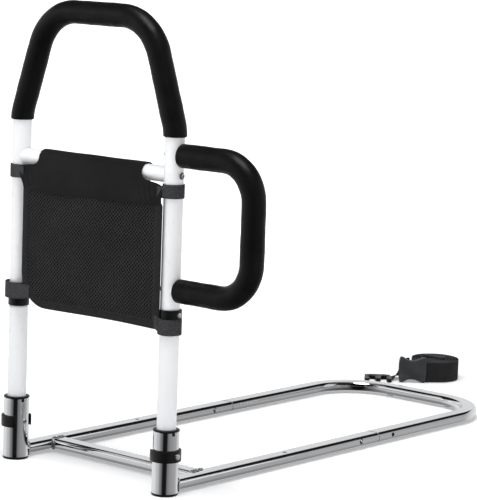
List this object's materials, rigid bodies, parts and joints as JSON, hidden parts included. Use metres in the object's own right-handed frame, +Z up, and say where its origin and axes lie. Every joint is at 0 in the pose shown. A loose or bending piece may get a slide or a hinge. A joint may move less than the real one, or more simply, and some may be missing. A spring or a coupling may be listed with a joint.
{
  "type": "bed assist rail",
  "caption": "Two-post bed rail with a padded top loop, padded side handle and hanging mesh pouch, on a chrome base loop that slides under a mattress.",
  "frame": {"origin": "middle of the bounding box's footprint, at floor level", "axes": "+X across the two posts towards the side handle, +Y along the base under the mattress, +Z up"},
  "size_m": [0.5164, 1.0858, 0.7035],
  "materials": {
    "white": "gloss white powder coat",
    "chrome": "bright chrome plate",
    "steel": "zinc plated",
    "foam": "matte closed-cell foam",
    "plastic": "moulded black",
    "grey": "moulded dark grey",
    "fabric": "woven polyester",
    "mesh": "air mesh",
    "webbing": "woven webbing",
    "rubber": "matte",
    "silicone": "clear soft silicone"
  },
  "bodies": {
    "base": {"base_cross_tube": "chrome", "base_end_loop": "chrome", "base_side_tube_left": "chrome", "base_side_tube_right": "chrome", "bush_key_left": "plastic", "bush_key_right": "plastic", "button_spring_left": "steel", "button_spring_right": "steel", "leg_socket_left": "chrome", "leg_socket_right": "chrome", "loop_pad_left": "silicone", "loop_pad_right": "silicone", "socket_bush_left": "plastic", "socket_bush_right": "plastic", "socket_clip_left": "plastic", "socket_clip_right": "plastic", "socket_foot_left": "rubber", "socket_foot_right": "rubber", "socket_pin_left": "steel", "socket_pin_right": "steel", "strap_buckle_plug": "plastic", "strap_buckle_socket": "grey", "strap_roll": "webbing", "strap_short_end": "webbing", "strap_slider": "grey"},
    "legs": {"lower_leg_left": "white", "lower_leg_right": "white"},
    "upper_frame": {"cross_bar": "white", "cross_bar_bolt_left": "steel", "cross_bar_bolt_right": "steel", "cross_bar_plug_left": "plastic", "cross_bar_plug_right": "plastic", "post_clip_left": "plastic", "post_clip_right": "plastic", "post_collar_left": "plastic", "post_collar_right": "plastic", "post_pin_left": "steel", "post_pin_right": "steel", "pouch_back_panel": "fabric", "pouch_front_panel": "mesh", "pouch_gusset": "fabric", "pouch_sleeve": "fabric", "pouch_strap_lower_left": "webbing", "pouch_strap_lower_right": "webbing", "pouch_strap_upper_left": "webbing", "pouch_strap_upper_right": "webbing", "side_handle_bolt_lower": "steel", "side_handle_bolt_upper": "steel", "side_handle_grip": "foam", "side_handle_plug_lower": "plastic", "side_handle_plug_upper": "plastic", "side_handle_tube": "white", "top_grip": "foam", "upper_frame_tube": "white"},
    "button_left": {"snap_button_left": "steel"},
    "button_right": {"snap_button_right": "steel"}
  },
  "joints": [
    {"name": "leg_lift", "type": "slide", "parent": "base", "child": "legs", "axis": [0, 0, 1], "range_m": [0, 0.07]},
    {"name": "upper_frame_lift", "type": "slide", "parent": "legs", "child": "upper_frame", "axis": [0, 0, 1], "range_m": [0, 0.045]},
    {"name": "button_press_left", "type": "slide", "parent": "base", "child": "button_left", "axis": [-1, 0, 0], "range_m": [0, 0.0035], "stiffness_N_per_m": 1200, "deforming": ["button_spring_left"]},
    {"name": "button_press_right", "type": "slide", "parent": "base", "child": "button_right", "axis": [-1, 0, 0], "range_m": [0, 0.0035], "stiffness_N_per_m": 1200, "deforming": ["button_spring_right"]}
  ]
}
